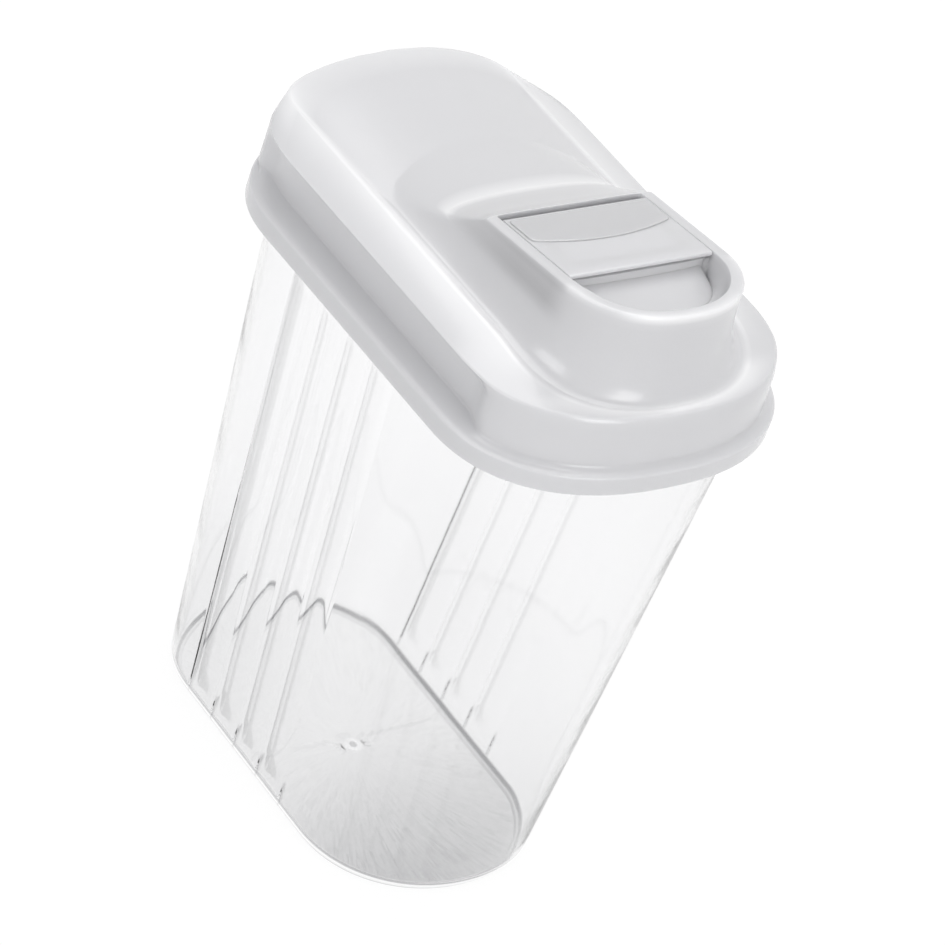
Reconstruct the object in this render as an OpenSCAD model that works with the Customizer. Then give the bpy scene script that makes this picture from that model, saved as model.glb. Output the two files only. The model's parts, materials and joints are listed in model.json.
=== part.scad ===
/* [Body] */
// Length of the floor, front to back
floor_l = 148; // [130:1:156]
// Width of the floor
floor_w = 88; // [76:1:96]
// Length of the mouth, over the wall
mouth_l = 176; // [164:1:177]
// Width of the mouth, over the wall
mouth_w = 116.6; // [108:0.2:117]
// Height of the body, from the table to its rim
body_h = 193; // [150:1:240]
// Thickness of the body's wall
body_wall = 1.8; // [1.2:0.1:2.4]
// Thickness of the floor
floor_t = 2.4; // [1.8:0.1:4]
// Rounding where the wall meets the floor
base_r = 4; // [3:0.5:6]
// How far the rim's lip stands out from the wall
lip_out = 0.7; // [0.3:0.1:0.9]
// Height of the rim's lip
lip_h = 3; // [2:0.5:4.5]

/* [Grip flutes] */
// Flutes in each long side
flute_count = 4; // [2:1:5]
// Distance between two ridges
flute_pitch = 14.5; // [10:0.5:14.5]
// Depth of a flute below its ridges
flute_depth = 0.9; // [0.4:0.1:1.4]
// How far the flutes sit behind the body's middle
flute_back = 6; // [0:1:8]
// Height where the flutes reach their full depth
flute_foot = 17; // [12:1:30]

/* [Lid] */
// Length of the lid over its skirt
skirt_l = 184; // [184:1:196]
// Width of the lid over its skirt
skirt_w = 124.6; // [124.6:0.2:132]
// How far the skirt reaches down past the body's rim
skirt_drop = 5; // [3:0.5:9]
// Thickness of the lid's wall
lid_wall = 1.8; // [1.4:0.1:2.2]
// Height of the bead, from the skirt's lower edge
bead_h = 7.4; // [7:0.2:9]
// Height of the cap's edge, from the skirt's lower edge
cap_rise = 25.4; // [23:0.2:32]
// How far the cap's edge sits inside the skirt, at the sides
cap_in = 4.1; // [3.4:0.1:5]
// How far the cap sits inside the skirt at its ends, just above the bead
ledge_in = 3.6; // [3:0.1:4.4]
// How much further the cap's edge leans in at the ends
cap_lean = 1.6; // [1:0.1:2.4]
// Height of the brow over the finger grips
brow_h = 4.5; // [3.6:0.1:6]
// Height of the roof's edge, from the skirt's lower edge
roof_rise = 30; // [29:0.5:36]
// Width of the flat roof
roof_w = 86.4; // [80:0.2:92]
// How much higher the roof is along its middle, at the back
crown = 4; // [2:0.5:6]
// Depth of the finger grips in the long sides
grip_depth = 6; // [4.5:0.5:7]
// Length of the finger grips
grip_l = 112; // [90:2:116]

/* [Spout] */
// Width of the spout's rim
spout_w = 62; // [58:0.5:66]
// Front of the spout, from the lid's middle
spout_front = 77; // [73:0.5:79]
// Rise of the spout's rim above the roof, at the hinge
spout_rise = 18.4; // [16:0.2:22]
// Upward slope of the spout's rim, in degrees
spout_slope = 8; // [5:0.5:10]
// Width of the rim beside the flap
spout_rim = 3.4; // [3.2:0.1:4]
// Where the ramp behind the spout starts, from the lid's middle
ramp_start = -38; // [-46:1:-30]
// Where the ramp ends in a crease and the spout's flat back begins, from the lid's middle
crease_x = -7; // [-12:0.5:-4]
// Rise of the spout's foot, from the roof to the top of its fillet
crease_rise = 6; // [5:0.2:7]
// How far the spout's foot flares out at its sides
foot_flare = 6; // [4.5:0.5:7]
// How far the spout's foot flares out in front of the nose
nose_flare = 5; // [4:0.5:6]
// Depth of the seat that the flap closes on
seat_depth = 3.2; // [3:0.1:4]
// Depth of the finger scoop in front of the flap
scoop_depth = 9; // [8:0.5:10]

/* [Flap] */
// Hinge axis, from the lid's middle
hinge_x = 15.3; // [13:0.1:18]
// Front edge of the flap's flat top, from the lid's middle
flap_front = 49; // [44:0.5:52]
// Thickness of the flap's plate
flap_t = 1.6; // [1.2:0.1:1.8]
// Radius of the hinge barrel
barrel_r = 2.3; // [2.2:0.1:2.6]
// Radius of the hinge pins
pin_r = 1.5; // [1.2:0.1:1.7]
// Length of each hinge pin
pin_l = 2; // [1.5:0.1:2.2]
// Height of the raised pad beside the hinge
pad_h = 0.5; // [0.3:0.1:0.8]
// Depth of the plug that enters the mouth
plug_h = 2.6; // [1.5:0.1:3]
// Gap between the plug and the mouth's edge
plug_in = 1.2; // [0.8:0.1:2]
// Reach of the apron in front of the flap's flat top
apron_out = 5; // [4:0.5:5.5]
// Drop of the apron into the scoop
apron_drop = 6; // [5:0.5:6.5]

/* [Fits] */
// Gap between the lid and the body's rim
lid_gap = 0.3; // [0.2:0.1:0.5]
// Gap round the flap
flap_gap = 0.35; // [0.2:0.05:0.5]
// Radial clearance of the hinge pins
pin_play = 0.05; // [0.02:0.01:0.1]

/* [Hidden] */
$fn = 64;

// Points in a quarter of an end, and along a side of the lid
end_steps = 9;
lid_steps = 12;
// Steps across one flute
flute_steps = 4;

// Shape of the rounded ends: their length as a share of the half width, and how square they are
body_end = 0.86;
body_square = 2.1;
lid_end = 0.72;
lid_square = 2.34;

// Heights that the pieces share
skirt_z = body_h - skirt_drop;
bead_z = skirt_z + bead_h;
cap_z = skirt_z + cap_rise;
roof_z = skirt_z + roof_rise;
rim_z = roof_z + spout_rise;

// Half sizes of the lid's edges
cap_end = skirt_l / 2 - cap_in - cap_lean;
roof_half = roof_w / 2;
// Rounding of the bead's edge, and how far its top leans in
bead_r = 0.7;
bead_lean = 2.2;
// How far the spout's fillet stands out from its rim, where it meets the wall
fillet_out = 2.2;
// Length of the ramp's rounded rear end
ramp_round = 22;
// Step between the roof and the spout's foot
foot_rise = 0.3;
// How far the roof's edge sits inside the cap's edge, in front and behind
roof_front_in = 2;
roof_back_in = 1.5;
// Radius of the rim's edges
edge_r = 0.6;

// The spout's openings, front to back
rim_half = spout_w / 2;
seat_half = rim_half - spout_rim;
slot_back = hinge_x - barrel_r - 2;
seat_back = hinge_x + barrel_r + 1;
step_front = flap_front - 1;
mouth_front = step_front - 2;
mouth_back = seat_back + 1.4;
mouth_half = seat_half - 4.4;
scoop_front = spout_front - 2.2;
// Depth of the hinge slot, measured below the rim
slot_depth = 2 * barrel_r + 1;

// Hinge axis, as deep below the rim as the barrel's radius
hinge_z = rim_z + (hinge_x - slot_back) * tan(spout_slope) - barrel_r / cos(spout_slope);

function clamp(t) = min(1, max(0, t));
function smooth(a, b, x) = let (t = clamp((x - a) / (b - a))) t * t * (3 - 2 * t);

// One quarter of a rounded end: a superellipse from its tip to the straight side
function end_quarter(len, half, square) =
    [for (i = [0:end_steps]) let (t = 90 * i / end_steps)
        [len * pow(cos(t), 2 / square), half * pow(sin(t), 2 / square)]];

// Outline with two straight sides and rounded ends, anticlockwise from its front tip.
// shares lists the points along a side, from 0 at the front end to 1 at the rear end.
function outline(front, rear, half, front_len, rear_len, front_sq, rear_sq, shares) =
    let (
        f = end_quarter(front_len, half, front_sq),
        r = end_quarter(rear_len, half, rear_sq),
        x1 = front - front_len,
        x0 = rear + rear_len,
        left = concat(
            [for (p = f) [x1 + p[0], p[1]]],
            [for (s = shares) [x1 + (x0 - x1) * s, half]],
            [for (i = [end_steps:-1:0]) [x0 - r[i][0], r[i][1]]]),
        n = len(left)
    )
    concat(left, [for (i = [n - 2:-1:1]) [left[i][0], -left[i][1]]]);

// Outline of the body and of the lid, which are alike at both ends
function oblong(len, width, end, square, shares) =
    outline(len / 2, -len / 2, width / 2, end * width / 2, end * width / 2, square, square, shares);

// Ring in space: each point of an outline at the height that z gives for its x and y
function ring(points, z) = [for (p = points) [p[0], p[1], z(p[0], p[1])]];
function flat_ring(points, z) = [for (p = points) [p[0], p[1], z]];

// Skin through rings that have as many points each, either closed on itself or with flat ends
module loft(rings, closed) {
    n = len(rings[0]);
    m = len(rings);
    spans = closed ? m : m - 1;
    skin = [for (j = [0:spans - 1]) for (i = [0:n - 1]) let (
        a = j * n + i,
        b = j * n + (i + 1) % n,
        c = ((j + 1) % m) * n + (i + 1) % n,
        d = ((j + 1) % m) * n + i)
        each [[a, d, c], [a, c, b]]];
    ends = closed ? [] : [[for (i = [0:n - 1]) i], [for (i = [n - 1:-1:0]) (m - 1) * n + i]];
    polyhedron(points = [for (r = rings) each r], faces = concat(skin, ends), convexity = 8);
}

// Stations along a side of the body: its flutes, with a ridge at both ends of each
flute_span = flute_count * flute_pitch;
side_half = floor_l / 2 - body_end * floor_w / 2;
body_shares = [for (i = [0:flute_count * flute_steps])
    (side_half + flute_back - flute_span / 2 + flute_span * i / (flute_count * flute_steps))
    / (2 * side_half)];

// Depth of the flutes at a place along the side: round hollows that meet in sharp ridges
function flute(x) = let (u = (x + flute_back + flute_span / 2) / flute_pitch)
    u < 0 || u > flute_count ? 0 : flute_depth * abs(sin(180 * u));

// Outline of the body's wall at a height, inset from the outside and with its flutes
function wall_outline(z, inset, fluting) =
    let (
        t = z / body_h,
        l = floor_l + (mouth_l - floor_l) * t - 2 * inset,
        w = floor_w + (mouth_w - floor_w) * t - 2 * inset,
        points = oblong(l, w, body_end, body_square, body_shares)
    )
    [for (p = points) abs(p[1]) < w / 2 - 0.001 ? p
        : [p[0], sign(p[1]) * (w / 2 - fluting * flute(p[0]))]];

// Container: a drafted, fluted wall on a flat floor, open at the top
module body() {
    inner_r = base_r - body_wall;
    outside = [
        for (a = [0:30:90]) let (z = base_r * (1 - cos(a)))
            flat_ring(wall_outline(z, base_r * (1 - sin(a)), 0), z),
        flat_ring(wall_outline(flute_foot, 0, 1), flute_foot),
        flat_ring(wall_outline(body_h - 2 * lip_h, 0, 1), body_h - 2 * lip_h),
        flat_ring(wall_outline(body_h - lip_h - lip_out, 0, 0), body_h - lip_h - lip_out),
        flat_ring(wall_outline(body_h - lip_h, -lip_out, 0), body_h - lip_h),
        flat_ring(wall_outline(body_h, -lip_out, 0), body_h)];
    inside = [
        flat_ring(wall_outline(body_h, body_wall, 0), body_h),
        flat_ring(wall_outline(body_h - lip_h - lip_out, body_wall, 0), body_h - lip_h - lip_out),
        flat_ring(wall_outline(body_h - 2 * lip_h, body_wall, 1), body_h - 2 * lip_h),
        flat_ring(wall_outline(flute_foot, body_wall, 1), flute_foot),
        for (a = [90:-30:0]) let (z = floor_t + inner_r * (1 - cos(a)))
            flat_ring(wall_outline(z, body_wall + inner_r * (1 - sin(a)), 0), z)];
    color([0.86, 0.9, 0.92, 0.45]) loft(concat(outside, inside), false);
}

// Stations along a side of the lid
lid_shares = [for (i = [1:lid_steps - 1]) i / lid_steps];

// The finger grips run along both long sides and fade out towards the ends
function grip(x) = smooth(-grip_l / 2 - 8, -grip_l / 2 + 6, x) * (1 - smooth(grip_l / 2 - 6, grip_l / 2 + 8, x));

// Ring round the lid: inset from the skirt at the sides and at the ends, with its share of the grips
function lid_ring(side_in, end_in, z, grip_share = 0) =
    let (
        half = skirt_w / 2 - side_in,
        tip = skirt_l / 2 - end_in,
        points = outline(tip, -tip, half, lid_end * half, lid_end * half, lid_square, lid_square, lid_shares)
    )
    [for (p = points) [p[0], sign(p[1]) * max(0, abs(p[1]) - grip_depth * grip_share * grip(p[0])), z]];

// Height of the roof: crowned along its middle at the back, and falling to the cap's edge in front
function roof(x, y) =
    let (middle = 1 - pow(clamp(abs(y) / roof_half), 2))
    roof_z + crown * middle * (1 - smooth(-30, 70, x)) - (roof_z - cap_z - 0.4) * smooth(40, cap_end - 4, x);

// Height of the spout's rim, which rises to the front and levels out at its nose
function rim_top(x) =
    let (level = flap_front + 8)
    rim_z + (min(x, level) - slot_back) * tan(spout_slope) + 0.3 * (max(x, level) - level) * tan(spout_slope);

// Ring round the spout: the place of its sides, rear and front, with square or round rear corners.
// Its nose starts to round where the flap's seat ends.
function spout_ring(half, rear, front, rear_len, rear_sq, z, nose_start = step_front) =
    ring(outline(front, rear, half, front - nose_start, rear_len, 2.3, rear_sq, lid_shares), z);

// Ring round the mouth, with four square corners
function mouth_ring(half, rear, front, z) = ring(outline(front, rear, half, 2, 2, 8, 8, lid_shares), z);

// Ring of the roof inside its edge, lowered by a thickness
function roof_ring(inset, down) = ring(
    outline(cap_end - roof_front_in - inset, -cap_end + roof_back_in + inset, roof_half - inset,
        lid_end * (roof_half - inset) * 1.1, lid_end * (roof_half - inset) * 0.8, lid_square, lid_square + 0.3,
        lid_shares),
    function(x, y) roof(x, y) - down);

// Seat under the flap, deeper behind it for the hinge barrel and in front of it for a finger
function seat_z(x, front_depth, rear_depth) = rim_top(x)
    - (x > step_front + 0.01 ? front_depth : x < seat_back - 0.01 ? rear_depth : seat_depth);

// Height of the top of the spout's fillet, which follows the crowned roof behind the hinge
function fillet_z(x, y) = roof(x, y) + crease_rise + (crown - 1) * (1 - smooth(crease_x, hinge_x, x));

// Foot of the spout on the roof, and the top of its fillet, each inset by a thickness
function foot_ring(inset, down) =
    spout_ring(rim_half + foot_flare - inset, ramp_start + inset, spout_front + nose_flare - inset, ramp_round, 2.2,
        function(x, y) roof(x, y) + foot_rise - down);
function fillet_ring(inset, down) =
    spout_ring(rim_half + fillet_out - inset, crease_x + inset, spout_front + fillet_out - 0.2 - inset, 8, 3,
        function(x, y) fillet_z(x, y) - down);

// Lid: one moulding of even wall, with a snap-over skirt, finger grips, roof and raised spout
module lid_shell() {
    w = lid_wall;
    outside = [
        lid_ring(0, 0, skirt_z),
        lid_ring(0, 0, skirt_z + 0.6 * bead_h),
        lid_ring(bead_r, bead_r, bead_z - bead_r),
        lid_ring(bead_lean, bead_lean, bead_z),
        lid_ring(cap_in, ledge_in, bead_z + 1, 1),
        lid_ring(cap_in, cap_in, cap_z - brow_h, 1),
        lid_ring(cap_in, cap_in + cap_lean / 2, cap_z - brow_h / 3, 0.4),
        lid_ring(cap_in, cap_in + cap_lean, cap_z, 0),
        roof_ring(0, 0),
        foot_ring(0, 0),
        fillet_ring(0, 0),
        spout_ring(rim_half, slot_back - 0.8, spout_front, 3, 6, function(x, y) rim_top(x) - edge_r),
        spout_ring(rim_half - edge_r, slot_back - 0.4, spout_front - edge_r, 3, 6, function(x, y) rim_top(x)),
        spout_ring(seat_half, slot_back, scoop_front, 2, 8, function(x, y) rim_top(x)),
        spout_ring(seat_half - 0.05, slot_back + 0.1, scoop_front - 3, 2, 8,
            function(x, y) seat_z(x, scoop_depth / 2, slot_depth / 2)),
        spout_ring(seat_half - 0.1, slot_back + 0.2, scoop_front - 9, 2, 8,
            function(x, y) seat_z(x, scoop_depth, slot_depth)),
        spout_ring(seat_half - 1.2, slot_back + 2.2, step_front + 1.6, 2, 8,
            function(x, y) seat_z(x, scoop_depth, slot_depth)),
        spout_ring(seat_half - 1.4, slot_back + 2.4, step_front, 2, 8,
            function(x, y) seat_z(x, seat_depth, slot_depth), step_front - 1),
        mouth_ring(mouth_half, mouth_back, mouth_front,
            function(x, y) rim_top(x) - (x < mouth_back + 2 ? slot_depth : seat_depth))];
    inside = [
        mouth_ring(mouth_half, mouth_back, mouth_front,
            function(x, y) rim_top(x) - w - (x < mouth_back + 2 ? slot_depth : seat_depth)),
        mouth_ring(mouth_half + 2, mouth_back - 3, step_front - 0.2,
            function(x, y) rim_top(x) - w
                - (x < seat_back + 1 ? slot_depth : x > mouth_front - 2 ? scoop_depth : seat_depth)),
        spout_ring(rim_half - w - 1, slot_back - w / 2, spout_front - 1.5 * w, 3, 6,
            function(x, y) rim_top(x) - w
                - (x < seat_back ? slot_depth : x > mouth_front - 2 ? scoop_depth : seat_depth),
            mouth_front - 0.5),
        fillet_ring(w, w + 1),
        foot_ring(w, w),
        roof_ring(w, w),
        lid_ring(cap_in + w, cap_in + cap_lean + w, cap_z - w + 0.4, 0.57),
        lid_ring(cap_in + w, cap_in + w, cap_z - brow_h - w, 1),
        lid_ring(cap_in + w, ledge_in + w, body_h + lid_gap + 1, 1),
        lid_ring(cap_in + w, ledge_in + w, body_h + lid_gap, 0.98),
        lid_ring(w, w, body_h + lid_gap, 0),
        lid_ring(w, w, skirt_z, 0)];
    loft(concat(outside, inside), true);
}

module lid() {
    color([0.84, 0.84, 0.87]) difference() {
        lid_shell();
        for (side = [-1, 1])
            translate([hinge_x, side * (seat_half - 1), hinge_z])
                rotate([-90 * side, 0, 0]) cylinder(r = pin_r + pin_play, h = 1 + pin_l + 2 * flap_gap);
    }
}

// Flap, drawn flat with its hinge axis at the origin and then turned to the rim's slope
flap_half = seat_half - flap_gap;
plate_l = (flap_front - hinge_x) / cos(spout_slope);
// The apron is narrower than the plate, because the nose curves in beside it
apron_half = flap_half - 1.4;

// Section of the hinge barrel and the plate, from the hinge to the front
module plate_section() {
    circle(r = barrel_r);
    translate([0, barrel_r - flap_t]) square([plate_l - flap_t / 2, flap_t]);
}

// Section of the apron that slopes down into the scoop
module apron_section() {
    top = barrel_r;
    polygon([
        [plate_l - flap_t, top],
        [plate_l, top],
        [plate_l + apron_out, top - apron_drop],
        [plate_l + apron_out - flap_t, top - apron_drop],
        [plate_l - flap_t / 2, top - flap_t],
        [plate_l - flap_t, top - flap_t]]);
}

// A section of the flap, carried across its width
module across(half) {
    translate([0, half, 0]) rotate([90, 0, 0]) linear_extrude(2 * half) children();
}

// Raised pad beside the hinge, with a bowed front edge
module flap_pad() {
    bow = 5;
    reach = 0.38 * plate_l;
    half = flap_half - 1;
    bow_r = (half * half + bow * bow) / (2 * bow);
    translate([0, 0, barrel_r - 0.2]) linear_extrude(pad_h + 0.2) intersection() {
        translate([0.5, -half]) square([reach + bow, 2 * half]);
        translate([reach + bow - bow_r, 0]) circle(r = bow_r, $fn = 128);
    }
}

// Wall under the plate that enters the mouth
module flap_plug() {
    back = mouth_back - hinge_x + plug_in;
    front = mouth_front - hinge_x - plug_in;
    half = mouth_half - plug_in;
    drop = seat_depth + plug_h;
    translate([0, 0, barrel_r - drop]) linear_extrude(drop - flap_t / 2) difference() {
        translate([back, -half]) square([front - back, 2 * half]);
        translate([back + flap_t, -half + flap_t]) square([front - back - 2 * flap_t, 2 * (half - flap_t)]);
    }
}

module flap() {
    color([0.8, 0.8, 0.83]) translate([hinge_x, 0, hinge_z]) rotate([0, -spout_slope, 0]) {
        across(flap_half) plate_section();
        across(apron_half) apron_section();
        flap_pad();
        flap_plug();
        for (side = [-1, 1])
            translate([0, side * (flap_half - 1), 0])
                rotate([-90 * side, 0, 0]) cylinder(r = pin_r, h = 1 + flap_gap + pin_l);
    }
}

body();
lid();
flap();
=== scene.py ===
import json
import math

import bpy
import numpy as np
from mathutils import Matrix, Vector


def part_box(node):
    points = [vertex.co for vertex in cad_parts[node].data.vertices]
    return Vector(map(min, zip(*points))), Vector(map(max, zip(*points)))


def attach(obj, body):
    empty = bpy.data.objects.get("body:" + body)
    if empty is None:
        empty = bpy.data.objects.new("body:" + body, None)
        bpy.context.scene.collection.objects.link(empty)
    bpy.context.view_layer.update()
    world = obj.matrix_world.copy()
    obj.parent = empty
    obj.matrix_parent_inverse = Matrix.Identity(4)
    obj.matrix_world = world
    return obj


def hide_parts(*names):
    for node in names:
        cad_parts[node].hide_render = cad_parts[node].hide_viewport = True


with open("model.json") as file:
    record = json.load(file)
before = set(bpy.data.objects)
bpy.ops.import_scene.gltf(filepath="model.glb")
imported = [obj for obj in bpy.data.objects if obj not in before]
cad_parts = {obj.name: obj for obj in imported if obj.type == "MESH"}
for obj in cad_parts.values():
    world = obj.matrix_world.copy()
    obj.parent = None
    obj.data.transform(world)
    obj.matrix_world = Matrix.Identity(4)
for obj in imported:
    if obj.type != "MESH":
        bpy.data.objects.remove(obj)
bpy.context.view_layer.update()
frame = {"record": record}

# Container
# One clear, rigid injection moulding with tapered walls and rounded ends. Its long sides have four
# shallow grip flutes each, and its rim ends in a small lip that the lid's skirt runs over.
metres = 0.001
body_low, body_high = (np.array(corner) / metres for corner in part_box("body"))
floor_l, floor_w = 148.0, 88.0
body_h = body_high[2]
body_wall, floor_t, base_r = 1.8, 2.4, 4.0
lip_out, lip_h = 0.7, 3.0
lip_z = body_h - lip_h
mouth_l, mouth_w = (body_high - body_low)[:2] - 2 * lip_out
# The ends are superellipses, whose length is a share of the half width
body_end, body_square, body_steps = 0.86, 2.1, 40
side_half = floor_l / 2 - body_end * floor_w / 2
flute_count, flute_pitch, flute_depth, flute_back, flute_foot = 4, 14.5, 0.9, 6.0, 17.0
flute_top = body_h - 2 * lip_h
crease_half, crease_depth, crease_share = 0.7, 0.4, 0.6
tooth_top, tooth_fade, tooth_share = 15.0, 4.0, 0.75
gate_place = np.array([4.0, -1.0])
# Radius and height of the rings of the gate mark's nub
nub_profile = ((4.4, 0), (3.6, 0), (3.0, 0.45), (1.6, 0.5), (1.2, 0.1), (0.3, 0.1))


def smooth(low, high, x):
    """Eased step: 0 below low, 1 above high, and 3t2 - 2t3 between them."""
    t = np.clip((x - low) / (high - low), 0, 1)
    return t * t * (3 - 2 * t)


def outline(front, rear, half, front_len, rear_len, front_sq, rear_sq, steps, shares):
    """Closed outline from its front tip, anticlockwise: a straight side between two quarter superellipses,
    |x / len| ^ sq + |y / half| ^ sq = 1, and the same side mirrored back to the front tip."""
    t = np.linspace(0, np.pi / 2, steps + 1)
    straight_front, straight_rear = front - front_len, rear + rear_len
    x = [straight_front + front_len * np.cos(t) ** (2 / front_sq),
         straight_front + (straight_rear - straight_front) * shares,
         (straight_rear - rear_len * np.cos(t) ** (2 / rear_sq))[::-1]]
    y = [half * np.sin(t) ** (2 / front_sq),
         np.full(len(shares), half),
         (half * np.sin(t) ** (2 / rear_sq))[::-1]]
    left = np.stack([np.concatenate(x), np.concatenate(y)], 1)
    return np.concatenate([left, left[-2:0:-1] * [1, -1]])


def at_height(points, z):
    """The points of an outline in space, at one height or at a height for each."""
    return np.column_stack([points, np.broadcast_to(z, len(points))])


def rounded(rings, radii, steps, closed=False):
    """Rings with every corner of their profile rounded: a quadratic curve that starts a radius before the
    ring and ends a radius after it, and never reaches half of the way to the next ring."""
    longest, shortest = 0.48, 1e-9
    made = []
    for j, (ring, radius) in enumerate(zip(rings, radii)):
        if not closed and j in (0, len(rings) - 1) or radius == 0:
            made.append(ring)
            continue
        arms = []
        for other in (rings[j - 1], rings[(j + 1) % len(rings)]):
            arm = other - ring
            length = np.linalg.norm(arm, axis=1, keepdims=True)
            arms.append(ring + arm * np.minimum(radius / np.maximum(length, shortest), longest))
        for t in np.linspace(0, 1, steps + 1):
            made.append((1 - t) ** 2 * arms[0] + 2 * t * (1 - t) * ring + t ** 2 * arms[1])
    return made


def skin(name, *shells):
    """Mesh of one or more shells, each a list of rings with as many points each, in millimetres and
    anticlockwise on the way up, and whether its last ring joins its first. If not, a point closes both."""
    points, faces, start = [], [], 0
    for rings, closed in shells:
        m, n = len(rings), len(rings[0])
        j, i = np.meshgrid(np.arange(m if closed else m - 1), np.arange(n), indexing="ij")
        after, beside = (j + 1) % m, (i + 1) % n
        quads = np.stack([j * n + i, j * n + beside, after * n + beside, after * n + i], -1).reshape(-1, 4)
        faces += (quads + start).tolist()
        points += list(rings)
        if not closed:
            points += [rings[0].mean(0, keepdims=True), rings[-1].mean(0, keepdims=True)]
            ring = np.arange(n)
            last = (m - 1) * n + ring
            first_fan = np.stack([np.roll(ring, -1), ring, np.full(n, m * n)], 1)
            last_fan = np.stack([last, np.roll(last, -1), np.full(n, m * n + 1)], 1)
            faces += (np.concatenate([first_fan, last_fan]) + start).tolist()
        start += m * n + (0 if closed else 2)
    mesh = bpy.data.meshes.new(name)
    mesh.from_pydata((np.concatenate(points) * metres).tolist(), [], faces)
    mesh.shade_smooth()
    piece = bpy.data.objects.new(name, mesh)
    bpy.context.scene.collection.objects.link(piece)
    return piece


# Stations along a side: even steps in front of the flutes, and closer ones beside each ridge
ridges = -flute_back + flute_pitch * (np.arange(flute_count + 1) - flute_count / 2)
near_ridge = np.array([-5.5, -4, -2.7, -1.6, -0.9, -0.5, -0.2, 0, 0.2, 0.5, 0.9, 1.6, 2.7, 4, 5.5])
before_flutes = np.linspace(ridges[-1] + 6, side_half, 4)
stations = np.concatenate([(ridges[:, None] + near_ridge).ravel(), before_flutes])
stations = np.unique(stations[np.abs(stations) < side_half - 0.1])
body_shares = (side_half - stations[::-1]) / (2 * side_half)


def flute(x):
    """Depth of the flutes along a side: a row of half sine waves that meet in sharp ridges."""
    u = (x + flute_back) / flute_pitch + flute_count / 2
    return np.where((u < 0) | (u > flute_count), 0, flute_depth * np.abs(np.sin(np.pi * u)))


def crease(x, z):
    """Share of the sharp creases at the ridges, 1 - |x - ridge| / half width: the rearmost runs the whole
    height, and the others end in a tooth. All of them fade out at the floor's rounding."""
    z = np.broadcast_to(z, x.shape)[:, None]
    near = np.clip(1 - np.abs(x[:, None] - ridges) / crease_half, 0, 1)
    tooth = tooth_share * (1 - smooth(tooth_top - tooth_fade, tooth_top, z))
    tall = np.where(np.arange(len(ridges)) == 0, crease_share, tooth)
    return (near * tall).max(1) * smooth(0.5, base_r, z[:, 0])


def wall(z, inset, fluting, creased=0.0):
    """Ring of the wall: its length and width grow evenly from the floor to the mouth, less an inset, and its
    sides go in by the depth of the flutes and the creases."""
    t = z / body_h
    half_l = floor_l / 2 + (mouth_l - floor_l) / 2 * t - inset
    half_w = floor_w / 2 + (mouth_w - floor_w) / 2 * t - inset
    end = body_end * half_w
    points = outline(half_l, -half_l, half_w, end, end, body_square, body_square, body_steps, body_shares)
    on_side = np.abs(points[:, 1]) > half_w - 0.001
    depth = fluting * flute(points[:, 0]) + creased * crease_depth * crease(points[:, 0], z)
    points[:, 1] -= np.sign(points[:, 1]) * on_side * depth
    return at_height(points, z)


def base_rings(inset, radius, z0, turns):
    """Quarter circle between the floor and the wall, from the floor's edge up."""
    return [wall(z0 + radius * (1 - np.cos(turn)), inset + radius * (1 - np.sin(turn)), 0) for turn in turns]


def floor_rings(edge, z):
    """Flat floor: the edge drawn in evenly towards the gate mark, whose nub is a profile turned about it."""
    centre = np.append(gate_place, z)
    flat = [centre + (edge - centre) * share for share in np.linspace(0.9, 0.1, 9)]
    turn = np.arctan2(edge[:, 1] - centre[1], edge[:, 0] - centre[0])
    nub = [centre + np.stack([radius * np.cos(turn), radius * np.sin(turn), np.full(len(turn), height)], 1)
           for radius, height in nub_profile]
    return flat, nub


quarter = np.linspace(0, np.pi / 2, 9)
inner_r = base_r - body_wall
low_heights = np.linspace(base_r, flute_foot, 12)[1:]
high_heights = np.linspace(flute_foot, flute_top, 24)[1:]
heights = np.concatenate([low_heights, high_heights])
outer = base_rings(0, base_r, 0, quarter)
outer += [wall(z, 0, smooth(base_r, flute_foot, z), 1 - smooth(flute_top - 6, flute_top, z)) for z in heights]
lip_rings = [outer[-1], wall(lip_z - lip_out, 0, 0), wall(lip_z, -lip_out, 0), wall(body_h, -lip_out, 0),
             wall(body_h, body_wall, 0), wall(lip_z - lip_out, body_wall, 0)]
outer += rounded(lip_rings, [0, 0.4, 0.4, 0.6, 0.6, 0], 5)[1:]
inner = [wall(z, body_wall, 0) for z in heights[::-1]]
inner += base_rings(body_wall, inner_r, floor_t, quarter)[::-1]
floor_flat, floor_nub = floor_rings(inner[-1], floor_t)
under = floor_rings(outer[0], 0)[0][::-1]
body_rings = under + outer + inner + floor_flat + floor_nub
body = skin("clear_container", (body_rings, False))


def vertices(piece):
    """Places of a piece's vertices in millimetres, one row each."""
    points = np.empty(3 * len(piece.data.vertices), np.float32)
    piece.data.vertices.foreach_get("co", points)
    return points.reshape(-1, 3).astype(float) / metres


def mark(piece, name, values):
    """Named attribute with a value for each vertex of a piece, which its material reads."""
    piece.data.attributes.new(name, "FLOAT", "POINT").data.foreach_set("value", values)


# Painted shade in the clear plastic's colour: where the light is turned away, grey is painted in. It is the
# largest of four shares, in the creases, in the rounding of the floor and the gate mark, in the floor, darker
# to the front, and in the walls, darker towards the bottom and the ends
x, y, z = vertices(body).T
in_floor = z < floor_t + 0.01
half_width = (floor_w + (mouth_w - floor_w) * z / body_h) / 2
on_side = (np.abs(y) > half_width - 3.2) & (np.abs(x) < side_half + 1)
creases = crease(x, z) * on_side
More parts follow.
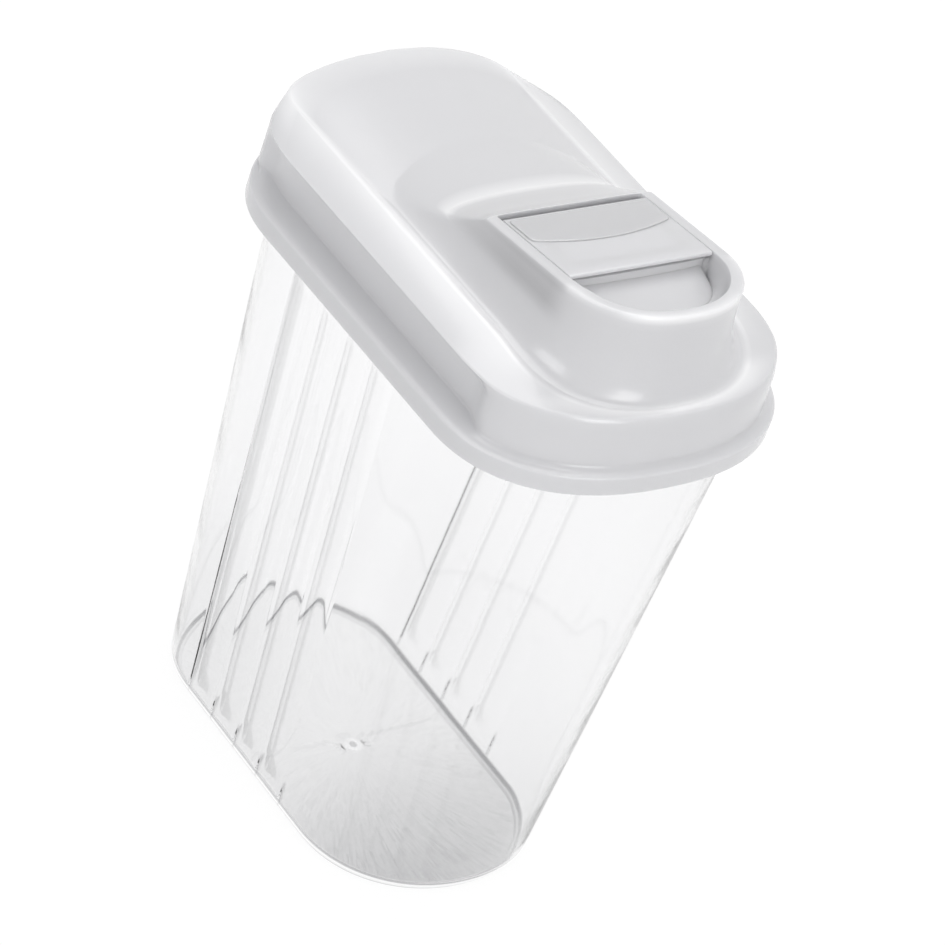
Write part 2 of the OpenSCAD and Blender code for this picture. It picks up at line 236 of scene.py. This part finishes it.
# A quarter round gets the most painted shade in its middle: a bell curve over its rings, cut off at 1
turns = np.arange(len(quarter))
bend = np.minimum(1, 1.4 * np.exp(-((turns - 4) / 1.6) ** 2))
ring_painted_shade = np.zeros(len(body_rings) + 1)
ring_painted_shade[len(under) + turns] = bend
ring_painted_shade[len(under + outer + inner) - len(turns) + turns] = 0.8 * bend
ring_painted_shade[-4:-1] = 0, 0.8, 0.83
rounding = ring_painted_shade[np.arange(len(z)) // len(outer[0])]
floor_shade = in_floor * (0.31 + 0.5 * smooth(-10, floor_l / 2, x))
walls = ~in_floor * (0.005 + 0.08 * (1 - smooth(20, 100, z)) + 0.035 * smooth(30, 70, np.abs(x)))
mark(body, "painted_shade", np.max([creases, rounding, floor_shade, walls], 0))


def new_material(name):
    """Material, its node tree and its Principled shader."""
    material = bpy.data.materials.new(name)
    material.use_nodes = True
    return material, material.node_tree, material.node_tree.nodes["Principled BSDF"]


def add_node(tree, kind, inputs=(), **settings):
    """A node with its settings, and with a value or another node's output on each named socket."""
    node = tree.nodes.new(kind)
    for key, value in settings.items():
        setattr(node, key, value)
    for socket, value in dict(inputs).items():
        if isinstance(value, bpy.types.NodeSocket):
            tree.links.new(value, node.inputs[socket])
        else:
            node.inputs[socket].default_value = value
    return node


def mixed(tree, share, first, second):
    """Colour between two others: first * (1 - share) + second * share."""
    return add_node(tree, "ShaderNodeMix", {0: share, 6: first, 7: second}, data_type="RGBA").outputs[2]


def marked(tree, name):
    """Value of a piece's named attribute, as its material reads it."""
    return add_node(tree, "ShaderNodeAttribute", attribute_name=name).outputs["Fac"]


def clear_plastic():
    """Clear, faintly grey polystyrene, with the slow ripples that a moulded wall has. Painted shade makes it
    greyer where its creases, its rounding and its floor turn the light away."""
    material, tree, shader = new_material("clear_plastic")
    place = add_node(tree, "ShaderNodeTexCoord").outputs["Object"]
    ripples = add_node(tree, "ShaderNodeTexNoise", {"Vector": place, "Scale": 25, "Detail": 2})
    bump = add_node(tree, "ShaderNodeBump",
                    {"Height": ripples.outputs["Fac"], "Strength": 0.07, "Distance": 0.002})
    tree.links.new(bump.outputs["Normal"], shader.inputs["Normal"])
    # Painted shade: the colour is mixed towards dark grey by the share that the mesh carries
    tone = mixed(tree, marked(tree, "painted_shade"), (0.98, 0.98, 0.984, 1), (0.2, 0.2, 0.21, 1))
    tree.links.new(tone, shader.inputs["Base Color"])
    shader.inputs["Transmission Weight"].default_value = 1
    shader.inputs["Roughness"].default_value = 0.03
    shader.inputs["IOR"].default_value = 1.57
    return material


body.data.materials.append(clear_plastic())
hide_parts("body")
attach(body, "container")

# Lid
# One milky, flexible moulding that is pressed over the container's rim: a skirt with a bead, finger grips,
# a low crowned roof, and the raised spout with the hinge slot, the flap's seat and the finger scoop.
lid_low, lid_high = (np.array(corner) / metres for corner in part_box("lid"))
skirt_l, skirt_w = (lid_high - lid_low)[:2]
skirt_z = lid_low[2]
lid_wall, lid_gap = 1.8, 0.3
lid_end, lid_square, cap_square, lid_steps = 0.72, 2.34, 3.0, 36
lid_shares = np.linspace(0, 1, 61)[1:-1]
bead_z = skirt_z + 7.4
cap_z = skirt_z + 25.4
roof_z = skirt_z + 30
bead_r, bead_lean = 0.7, 2.2
cap_in, cap_lean, ledge_in, brow_h = 4.1, 1.6, 3.6, 4.5
cap_front, cap_rear = skirt_l / 2 - cap_in - cap_lean, -skirt_l / 2 + ledge_in
roof_half, crown, crown_power, roof_front_in, roof_back_in = 43.7, 7.0, 1.3, 2.0, 0.7
roof_front_end, roof_rear_end, roof_square = 1.1, 0.8, 5.0
grip_depth, grip_front, grip_rear = 6.0, 56.0, -70.0

rim_half, spout_front, spout_rim, nose_rim, edge_r = 32.8, 77.0, 4.4, 4.0, 0.6
rim_slope = np.tan(np.radians(8))
foot_rise, foot_flare, nose_flare = 0.3, 8.2, 6.0
ramp_start, ramp_round, ramp_square = -38.0, 22.0, 2.2
crease_x, crease_round, crease_square, crease_turn = -8.0, 12.0, 5.0, 55.0
rim_corner, rim_square, corner_len, corner_square, nose_square = 3.0, 6.0, 2.0, 8.0, 2.3
seat_half = rim_half - spout_rim
hinge = next(joint for joint in frame["record"]["behaviour"]["joints"] if joint["name"] == "flap_hinge")
hinge_x, _, hinge_z = np.array(hinge["pos_m"]) / metres
barrel_r = 2.3
flap_front, flap_lip = 49.0, 1.2
slot_back = hinge_x - barrel_r - 2
slot_depth = 2 * barrel_r + 1
hood_x = slot_back - 0.8
rim_z = hinge_z + barrel_r * np.hypot(1, rim_slope) - (hinge_x - slot_back) * rim_slope
rim_bend, rim_ease = flap_front + 8, 0.3
seat_back = hinge_x + barrel_r + 1
seat_depth, scoop_depth, scoop_lean = 3.2, 11.0, 3.2
step_front = flap_front - flap_lip
mouth_half, mouth_back, mouth_front = seat_half - 4.4, seat_back + 1.4, step_front - 2
scoop_front = spout_front - nose_rim


def grip(x):
    """Share of the finger grips' depth: 1 along the sides, fading to 0 at both ends."""
    return smooth(grip_rear - 8, grip_rear + 6, x) * (1 - smooth(grip_front - 6, grip_front + 8, x))


def lid_ring(side_in, front_in, rear_in, z, grip_share=0.0, rear_square=cap_square):
    """Ring round the lid, inset from the skirt, and drawn in at the sides by the finger grips."""
    half, front, rear = skirt_w / 2 - side_in, skirt_l / 2 - front_in, -skirt_l / 2 + rear_in
    end = lid_end * half
    points = outline(front, rear, half, end, end, lid_square, rear_square, lid_steps, lid_shares)
    depth = np.maximum(0, np.abs(points[:, 1]) - grip_depth * grip_share * grip(points[:, 0]))
    return at_height(np.stack([points[:, 0], np.sign(points[:, 1]) * depth], 1), z)


def roof(x, y):
    """Height of the roof: a crown across it, (1 - (y / half) ^ 2) ^ power, that flattens to the front, where
    the roof falls to just above the cap's edge."""
    across = (1 - np.clip(np.abs(y) / roof_half, 0, 1) ** 2) ** crown_power
    flattened = 1 - smooth(-30, 70, x)
    fallen = smooth(40, cap_front - 4, x)
    return roof_z + crown * across * flattened - (roof_z - cap_z - 0.4) * fallen


def rim_top(x):
    """Height of the spout's rim: an even slope up to the bend at the nose, and a small share of it beyond."""
    return (rim_z + (np.minimum(x, rim_bend) - slot_back) * rim_slope
            + rim_ease * (np.maximum(x, rim_bend) - rim_bend) * rim_slope)


def spout_ring(half, rear, front, rear_len, rear_sq, height, nose_start=step_front):
    """Ring round the spout: straight sides up to nose_start, and a function of x and y for its height."""
    points = outline(front, rear, half, front - nose_start, rear_len, nose_square, rear_sq, lid_steps,
                     lid_shares)
    return at_height(points, height(points[:, 0], points[:, 1]))


def opening_ring(half, rear, front, height, nose_start=step_front):
    """Ring in the spout's opening, whose rear corners are nearly square."""
    return spout_ring(half, rear, front, corner_len, corner_square, height, nose_start)


def mouth_ring(half, rear, front, down):
    """Ring round the mouth, with four square corners, below the rim by the depth of the slot or the seat."""
    points = outline(front, rear, half, corner_len, corner_len, corner_square, corner_square, lid_steps,
                     lid_shares)
    x = points[:, 0]
    return at_height(points, rim_top(x) - down - np.where(x < mouth_back + 2, slot_depth, seat_depth))


def roof_ring(inset, down):
    """Ring of the roof inside its edge, lowered by a thickness."""
    half = roof_half - inset
    end = lid_end * half
    front, rear = cap_front - roof_front_in - inset, cap_rear + roof_back_in + inset
    points = outline(front, rear, half, roof_front_end * end, roof_rear_end * end, lid_square, roof_square,
                     lid_steps, lid_shares)
    return at_height(points, roof(points[:, 0], points[:, 1]) - down)


def cove_ring(angle, inset=0.0, down=0.0):
    """Ring of the cove round the spout: a quarter of an ellipse, flat at its foot (0 degrees) and steep at
    the rim (90). Behind the spout it runs up the ramp to the crease, and then up the hood to the slot."""
    low, crease_low = np.cos(np.radians(angle)), np.cos(np.radians(crease_turn))
    out = 1 - np.sin(np.radians(angle))
    ramp, hood = min(1, (1 - low) / (1 - crease_low)), max(0, (crease_low - low) / crease_low)
    rear = ramp_start + (crease_x - ramp_start) * ramp + (hood_x - crease_x) * hood
    rear_len = ramp_round + (crease_round - ramp_round) * ramp + (rim_corner - crease_round) * hood
    rear_sq = ramp_square + (crease_square - ramp_square) * ramp + (rim_square - crease_square) * hood

    def height(x, y):
        """Height between the rim and the roof, where low is the share of the way down to the roof."""
        top = rim_top(x) - edge_r * hood
        return top - (top - roof(x, y) - foot_rise) * low - down

    half, front = rim_half + foot_flare * out - inset, spout_front + nose_flare * out - inset
    return spout_ring(half, rear + inset, front, rear_len, rear_sq, height)


def between(first, last, count, height=None):
    """Rings evenly spaced between two others, put on a surface where a height is given."""
    made = []
    for t in np.linspace(0, 1, count + 2)[1:-1]:
        ring = first + (last - first) * t
        if height:
            ring = at_height(ring[:, :2], height(ring[:, 0], ring[:, 1]))
        made.append(ring)
    return made


def seat_z(x, front_depth, rear_depth):
    """Height of the floor under the flap: the hinge slot, the seat, and the finger scoop in front."""
    return rim_top(x) - np.where(x > step_front + 0.01, front_depth,
                                 np.where(x < seat_back - 0.01, rear_depth, seat_depth))


# Section of the lid, a ring and the radius of its rounding each: up the outside, over the roof and the cove,
# down into the spout's opening and the mouth, and back under all of it
w = lid_wall
under_lid = body_h + lid_gap
cove_angles = (8, 16, 24, 32, 40, 48, 54, 55, 56, 62, 68, 74, 80, 85)
profile = [
    (lid_ring(0, 0, 0, skirt_z, rear_square=lid_square), 0.5),
    (lid_ring(0, 0, 0, bead_z - bead_r, rear_square=lid_square), 0.7),
    (lid_ring(bead_lean, bead_lean, bead_lean, bead_z, rear_square=lid_square), 0.6),
    (lid_ring(cap_in, ledge_in, ledge_in, bead_z + 1, 1), 0.8),
    (lid_ring(cap_in, cap_in, ledge_in, cap_z - brow_h, 1), 1.5),
    (lid_ring(cap_in, cap_in + cap_lean / 2, ledge_in, cap_z - brow_h / 3, 0.4), 1.5),
    (lid_ring(cap_in, cap_in + cap_lean, ledge_in, cap_z, 0), 1.2),
    (roof_ring(0, 0), 1.4)]
profile += [(ring, 0) for ring in between(roof_ring(0, 0), cove_ring(0), 3, roof)]
profile += [(cove_ring(0), 1.0)]
profile += [(cove_ring(angle), 0) for angle in cove_angles]
profile += [
    (cove_ring(90), 0.45),
    (spout_ring(rim_half - edge_r, slot_back - 0.4, spout_front - edge_r, rim_corner, rim_square,
                lambda x, y: rim_top(x)), 0.4),
    (opening_ring(seat_half, slot_back, scoop_front, lambda x, y: rim_top(x)), 0.5),
    (opening_ring(seat_half - 0.05, slot_back + 0.1, scoop_front - 2.4,
                  lambda x, y: seat_z(x, scoop_depth / 2, slot_depth / 2)), 3.0),
    (opening_ring(seat_half - 0.1, slot_back + 0.2, scoop_front - 8,
                  lambda x, y: seat_z(x, scoop_depth, slot_depth)), 2.5),
    (opening_ring(seat_half - 1.2, slot_back + 2.2, step_front + scoop_lean,
                  lambda x, y: seat_z(x, scoop_depth, slot_depth)), 2.5),
    (opening_ring(seat_half - 1.4, slot_back + 2.4, step_front,
                  lambda x, y: seat_z(x, seat_depth, slot_depth), step_front - 1), 0.3),
    (mouth_ring(mouth_half, mouth_back, mouth_front, 0), 0.3),
    (mouth_ring(mouth_half, mouth_back, mouth_front, w), 0.3),
    (mouth_ring(mouth_half + 2, mouth_back - 3, step_front - 0.2, w), 0),
    (spout_ring(rim_half - w - 1, slot_back - w / 2, spout_front - 1.5 * w, rim_corner, rim_square,
                lambda x, y: rim_top(x) - w - np.select([x < seat_back, x > mouth_front - 2],
                                                        [slot_depth, scoop_depth], seat_depth),
                mouth_front - 0.5), 0.5)]
profile += [(cove_ring(angle, w, w), 0) for angle in (55, 45, 35, 25, 15)]
profile += [(cove_ring(0, w, w), 1.0)]
under_roof = between(cove_ring(0, w, w), roof_ring(w, w), 3, lambda x, y: roof(x, y) - w)
profile += [(ring, 0) for ring in under_roof]
profile += [
    (roof_ring(w, w), 1.0),
    (lid_ring(cap_in + w, cap_in + cap_lean + w, ledge_in + w, cap_z - w + 0.4, 0.57), 1.0),
    (lid_ring(cap_in + w, cap_in + w, ledge_in + w, cap_z - brow_h - w, 1), 0.8),
    (lid_ring(cap_in + w, ledge_in + w, ledge_in + w, under_lid, 1), 0.4),
    (lid_ring(w, w, w, under_lid, rear_square=lid_square), 0.4),
    (lid_ring(w, w, w, skirt_z, rear_square=lid_square), 0.4)]
lid_rings = rounded([ring for ring, _ in profile], [radius for _, radius in profile], 3, True)
lid = skin("milky_lid", (lid_rings, True))


def nearness(piece, edge, reach, fade):
    """Nearness of each vertex to a line of points, exp(-(distance / reach) ^ 2), times a share by x and z."""
    points = vertices(piece)
    away = np.min([np.linalg.norm(points - point, axis=1) for point in edge], 0)
    return np.exp(-(away / reach) ** 2) * fade(points[:, 0], points[:, 2])


# Painted highlight on the rounded edges of the roof, the crease and the nose, and painted shade on the steep
# sides of the spout, where little light reaches
crease_line = cove_ring(crease_turn)
nose_line = cove_ring(90)
light_edges = np.concatenate([roof_ring(0, 0), crease_line[np.abs(crease_line[:, 0] - crease_x) < 3],
                              nose_line[nose_line[:, 0] > step_front + 6]])
steep_sides = np.concatenate([cove_ring(68), cove_ring(76), cove_ring(84)])
mark(lid, "painted_highlight", nearness(lid, light_edges, 1.7, lambda x, z:
                               1 - 0.7 * smooth(48, 66, x) * (1 - smooth(68, 74, x))))
mark(lid, "shade", nearness(lid, steep_sides, 3.2, lambda x, z:
                            smooth(-14, 34, x) * (1 - smooth(46, 58, x)) * (z < rim_top(x) - 0.4)))


def skin_and_painted_light():
    """Node group for the skin of milky plastic: a tint with faint paler clouds, a painted highlight on the
    rounded edges, painted shade where little light comes, and a fine moulded grain."""
    group = bpy.data.node_groups.new("skin_and_painted_light", "ShaderNodeTree")
    for name in ("Tint", "Highlight Tone", "Shade Tone"):
        group.interface.new_socket(name, in_out="INPUT", socket_type="NodeSocketColor")
    group.interface.new_socket("Grain", in_out="INPUT", socket_type="NodeSocketFloat")
    group.interface.new_socket("Colour", in_out="OUTPUT", socket_type="NodeSocketColor")
    group.interface.new_socket("Normal", in_out="OUTPUT", socket_type="NodeSocketVector")
    given = add_node(group, "NodeGroupInput").outputs
    place = add_node(group, "ShaderNodeTexCoord").outputs["Object"]
    clouds = add_node(group, "ShaderNodeTexNoise", {"Vector": place, "Scale": 18, "Detail": 3})
    paler = add_node(group, "ShaderNodeHueSaturation", {"Value": 1.04, "Color": given["Tint"]})
    colour = mixed(group, clouds.outputs["Fac"], given["Tint"], paler.outputs["Color"])
    colour = mixed(group, marked(group, "painted_highlight"), colour, given["Highlight Tone"])
    colour = mixed(group, marked(group, "shade"), colour, given["Shade Tone"])
    grain = add_node(group, "ShaderNodeTexNoise", {"Vector": place, "Scale": 900, "Detail": 2})
    bump = add_node(group, "ShaderNodeBump",
                    {"Height": grain.outputs["Fac"], "Strength": given["Grain"], "Distance": 0.0002})
    add_node(group, "NodeGroupOutput", {"Colour": colour, "Normal": bump.outputs["Normal"]})
    return group


def milky_plastic(name, skin_group, tint):
    """Milky polyethylene: light enters it a few millimetres, below a satin skin."""
    material, tree, shader = new_material(name)
    surface = add_node(tree, "ShaderNodeGroup", node_tree=skin_group)
    surface.inputs["Tint"].default_value = tint
    # Painted highlight on the rounded edges, and painted shade on the spout's steep sides
    surface.inputs["Highlight Tone"].default_value = (0.93, 0.93, 0.935, 1)
    surface.inputs["Shade Tone"].default_value = (0.52, 0.52, 0.53, 1)
    surface.inputs["Grain"].default_value = 0.1
    tree.links.new(surface.outputs["Colour"], shader.inputs["Base Color"])
    tree.links.new(surface.outputs["Normal"], shader.inputs["Normal"])
    shader.inputs["Roughness"].default_value = 0.24
    shader.inputs["IOR"].default_value = 1.51
    shader.inputs["Coat Weight"].default_value = 0.3
    shader.inputs["Coat Roughness"].default_value = 0.1
    shader.inputs["Subsurface Weight"].default_value = 0.6
    shader.inputs["Subsurface Radius"].default_value = (1, 1, 1)
    shader.inputs["Subsurface Scale"].default_value = 0.003
    return material


milky_skin_and_light = skin_and_painted_light()
lid.data.materials.append(milky_plastic("milky_lid_plastic", milky_skin_and_light, (0.695, 0.695, 0.705, 1)))
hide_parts("lid")
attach(lid, "lid")

# Flap
# One moulding of the lid's plastic that snaps into the spout's cheeks by two pins: a barrel, a plate with
# a raised pad beside the hinge, a front edge that a finger lifts from the scoop, and a plug for the mouth.
flap_t, front_r, side_r, pad_h, pin_r, pin_l, flap_gap = 1.6, 0.6, 0.3, 0.5, 1.5, 2.0, 0.35
plug_in, plug_h = 1.2, 2.6
flap_half = seat_half - flap_gap
cos_slope, sin_slope = np.cos(np.arctan(rim_slope)), np.sin(np.arctan(rim_slope))
plate_l = (flap_front - hinge_x) / cos_slope


def turned(rings):
    """Rings drawn flat from the hinge axis, turned to the rim's slope and put on the axis."""
    made = []
    for ring in rings:
        x, y, z = ring.T
        made.append(np.column_stack([hinge_x + x * cos_slope - z * sin_slope, y,
                                     hinge_z + x * sin_slope + z * cos_slope]))
    return made


def plate_section(y, inset):
    """Section of the barrel and the plate at a place across the flap: the barrel's arc from the plate's top
    round the back to its underside, the underside, two quarter circles at the front edge, and the top."""
    top, low, tip = barrel_r - inset, barrel_r - flap_t + inset, plate_l - inset
    arc = np.linspace(np.pi / 2, 2 * np.pi + np.arcsin(low / top), 40)
    turn = np.linspace(-np.pi / 2, 0, 5)
    share = np.linspace(0, 1, 12)[1:-1, None]
    barrel = top * np.column_stack([np.cos(arc), np.sin(arc)])
    lower = [tip, low] + front_r * np.column_stack([np.cos(turn) - 1, np.sin(turn) + 1])
    upper = [tip, top] + front_r * np.column_stack([np.cos(turn) - 1, -np.sin(turn) - 1])[::-1]
    edge = np.concatenate([lower, upper])
    points = np.concatenate([barrel, barrel[-1] + (edge[0] - barrel[-1]) * share,
                             edge, edge[-1] + (barrel[0] - edge[-1]) * share])
    return np.column_stack([points[:, 0], np.full(len(points), y), points[:, 1]])


def box_ring(back, front, half, z, radius, bow=0.0):
    """Rectangle with rounded corners at one height, whose front edge bows out by a parabola."""
    turn = np.linspace(0, np.pi / 2, 7)
    corner = radius * (np.column_stack([np.cos(turn), np.sin(turn)]) - 1)
    share = np.linspace(-1, 1, 25)[1:-1]
    edge = np.concatenate([
        np.column_stack([np.full(len(share), front), share * (half - radius)]),
        corner + [front, half],
        (corner[::-1] * [-1, 1]) + [back, half],
        (corner * [-1, -1]) + [back, -half],
        (corner[::-1] * [1, -1]) + [front, -half]])
    edge[:, 0] += np.where(edge[:, 0] > (back + front) / 2, bow * (1 - (edge[:, 1] / half) ** 2), 0)
    return at_height(edge, z)


side_turns = np.linspace(np.pi / 2, 0, 4)
plate = [plate_section(flap_half - side_r + side_r * np.sin(turn), side_r * (1 - np.cos(turn)))
         for turn in side_turns]
plate += [ring * [1, -1, 1] for ring in plate[::-1]]
# Inset and height of each of the pad's rings
pad_top, pad_half, pad_front, pad_corner, pad_bow = barrel_r + pad_h, flap_half - 1, 0.38 * plate_l, 1.2, 4.5
pad_profile = ((0, barrel_r - 0.4), (0, pad_top - 0.25), (0.08, pad_top - 0.08), (0.25, pad_top),
               (0.6, pad_top))
pad = [box_ring(0.5 + inset, pad_front - inset, pad_half - inset, z, pad_corner, pad_bow)
       for inset, z in pad_profile]
# Inset, height and corner radius of each of the plug's rings
plug_low, plug_top = barrel_r - seat_depth - plug_h, barrel_r - flap_t / 2
plug_back, plug_front = mouth_back - hinge_x + plug_in, mouth_front - hinge_x - plug_in
plug_half = mouth_half - plug_in
plug_profile = ((0, plug_low + 0.3, 2), (0, plug_top, 2), (flap_t, plug_top, 1), (flap_t, plug_low + 0.3, 1),
                (flap_t - 0.3, plug_low, 1), (0.3, plug_low, 2))
plug = [box_ring(plug_back + inset, plug_front - inset, plug_half - inset, z, radius)
        for inset, z, radius in plug_profile]
# Place across the flap and radius of each of a pin's rings
circle = np.linspace(0, 2 * np.pi, 33)[:-1]
pin_reach = flap_half + flap_gap + pin_l
pin_profile = ((flap_half - 1, pin_r), (pin_reach - 0.3, pin_r), (pin_reach, pin_r - 0.3))
pins = []
for side in (1, -1):
    pins.append([np.column_stack([radius * np.cos(circle), np.full(len(circle), side * y),
                                  -side * radius * np.sin(circle)]) for y, radius in pin_profile])
flap = skin("milky_flap", (turned(plate), False), (turned(pad), False), (turned(plug), True),
            *((turned(pin), False) for pin in pins))
flap.data.materials.append(milky_plastic("milky_flap_plastic", milky_skin_and_light, (0.70, 0.70, 0.713, 1)))
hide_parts("flap")
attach(flap, "flap")

# Table and studio
# A white table without edges under the container, pale surroundings, and soft lamps above and beside it.
table_size, glow, glow_share = 6.0, 1.04, 0.92
bpy.ops.mesh.primitive_plane_add(size=table_size)
table = bpy.context.object
table.name = "table"
material, tree, shader = new_material("white_table")
shader.inputs["Base Color"].default_value = (0.9, 0.9, 0.9, 1)
shader.inputs["Roughness"].default_value = 0.9


def background_rays(tree):
    """1 for the rays that see the background, from the camera, mirrored or through clear plastic, else 0."""
    rays = add_node(tree, "ShaderNodeLightPath").outputs
    bent = add_node(tree, "ShaderNodeMath", {0: rays["Is Glossy Ray"], 1: rays["Is Transmission Ray"]},
                    operation="MAXIMUM")
    return add_node(tree, "ShaderNodeMath", {0: rays["Is Camera Ray"], 1: bent.outputs[0]},
                    operation="MAXIMUM")


seen = background_rays(tree)
seen = add_node(tree, "ShaderNodeMath", {0: seen.outputs[0], 1: glow_share}, operation="MULTIPLY")
white = add_node(tree, "ShaderNodeEmission", {"Color": (1, 1, 1, 1), "Strength": glow})
mix = add_node(tree, "ShaderNodeMixShader", {0: seen.outputs[0], 1: shader.outputs[0], 2: white.outputs[0]})
tree.links.new(mix.outputs[0], tree.nodes["Material Output"].inputs["Surface"])
table.data.materials.append(material)

world = bpy.data.worlds.new("studio")
bpy.context.scene.world = world
world.use_nodes = True
seen = background_rays(world.node_tree)
around = world.node_tree.nodes["Background"]
around.inputs["Color"].default_value = (0.42, 0.42, 0.43, 1)
backdrop = add_node(world.node_tree, "ShaderNodeBackground", {"Color": (1, 1, 1, 1), "Strength": 1})
mix = add_node(world.node_tree, "ShaderNodeMixShader", {0: seen.outputs[0],
                                                        1: around.outputs[0], 2: backdrop.outputs[0]})
world.node_tree.links.new(mix.outputs[0], world.node_tree.nodes["World Output"].inputs["Surface"])


lamp_aim = Vector((0, 0, 0.2))


def lamp(name, place, size, power):
    """Soft lamp that faces the middle of the lid."""
    light = bpy.data.lights.new(name, "AREA")
    light.shape = "RECTANGLE"
    light.size, light.size_y = size
    light.energy = power
    made = bpy.data.objects.new(name, light)
    made.location = place
    made.rotation_euler = (lamp_aim - Vector(place)).to_track_quat("-Z", "Y").to_euler()
    bpy.context.scene.collection.objects.link(made)


lamp("overhead", (-0.3, 0.3, 1.4), (1.0, 1.0), 7)
lamp("front_left", (0.2, -1.3, 0.9), (0.9, 0.7), 5.5)
lamp("front_right", (1.4, 0.1, 0.8), (0.6, 0.9), 6.5)

# Camera
# It stands above the front of the container, to the right of it, and is rolled so that the container leans.
azimuth, elevation, roll = map(math.radians, (44.14, 36.53, 19.97))
distance = 1.6343
focal_pixels, frame_pixels, sensor = 5000.41, 945, 36.0
target = Vector((0, 0, 0.092))
off_centre = (-50.56, 61.71)
back = Vector((math.sin(azimuth) * math.cos(elevation),
               -math.cos(azimuth) * math.cos(elevation),
               math.sin(elevation)))
level_right = (-back).cross(Vector((0, 0, 1))).normalized()
level_up = level_right.cross(-back)
right = level_right * math.cos(roll) + level_up * math.sin(roll)
up = level_up * math.cos(roll) - level_right * math.sin(roll)
place = target + back * distance
aim = target + (up * off_centre[1] - right * off_centre[0]) * (distance / focal_pixels)
forward = (aim - place).normalized()
right = (right - forward * right.dot(forward)).normalized()
up = right.cross(forward)
camera_data = bpy.data.cameras.new("camera")
camera_data.sensor_width = sensor
camera_data.lens = focal_pixels / frame_pixels * sensor
camera = bpy.data.objects.new("camera", camera_data)
camera.matrix_world = Matrix((
    (right.x, up.x, -forward.x, place.x),
    (right.y, up.y, -forward.y, place.y),
    (right.z, up.z, -forward.z, place.z),
    (0, 0, 0, 1)))
bpy.context.scene.collection.objects.link(camera)
bpy.context.scene.camera = camera
bpy.context.scene.view_settings.view_transform = "Standard"
